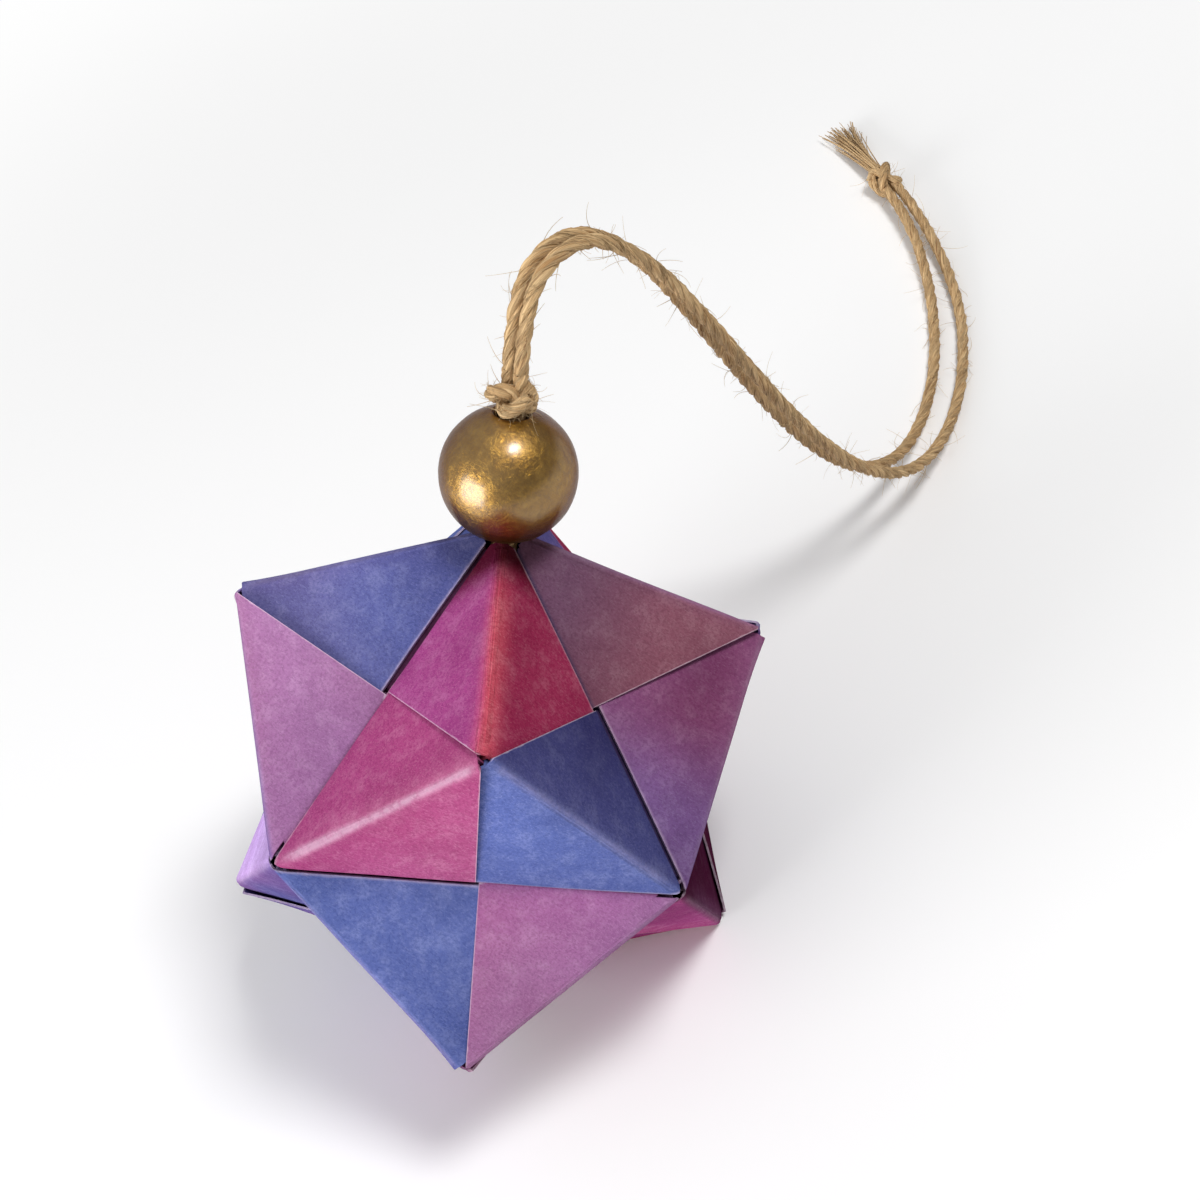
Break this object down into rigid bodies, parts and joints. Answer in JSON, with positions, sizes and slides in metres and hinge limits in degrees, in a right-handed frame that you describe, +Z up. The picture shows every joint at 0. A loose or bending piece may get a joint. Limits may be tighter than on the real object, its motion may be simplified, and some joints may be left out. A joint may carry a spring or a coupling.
{
  "type": "kusudama paper ball",
  "caption": "Modular folded paper ball of interlocked sheets, an octahedron with a pyramid on each face, with a gold bead and a knotted twine hanger.",
  "frame": {"origin": "on the floor below the middle of the ball, which rests on one vertex and two pyramid tips", "axes": "+Z up; the bead's axis leans back from +Z towards +Y; +X to the right seen from the front"},
  "size_m": [0.0857, 0.1445, 0.0733],
  "materials": {
    "paper_blue": "matte printed paper",
    "paper_plum": "matte printed paper",
    "paper_rose": "matte printed paper",
    "gold_wood": "satin gold paint on turned wood",
    "jute": "twisted natural fibre"
  },
  "bodies": {
    "root": {"paper_unit_01": "paper_plum", "paper_unit_02": "paper_rose", "paper_unit_03": "paper_rose", "paper_unit_04": "paper_plum", "paper_unit_05": "paper_blue", "paper_unit_06": "paper_rose", "paper_unit_07": "paper_rose", "paper_unit_08": "paper_blue", "paper_unit_09": "paper_blue", "paper_unit_10": "paper_blue", "paper_unit_11": "paper_plum", "paper_unit_12": "paper_blue", "bead": "gold_wood", "stopper_knot": "jute", "twine_run_left": "jute", "twine_run_right": "jute", "bead_knot": "jute", "hanger_leg_left": "jute", "hanger_leg_right": "jute", "end_knot": "jute", "frayed_tail": "jute"}
  },
  "joints": []
}
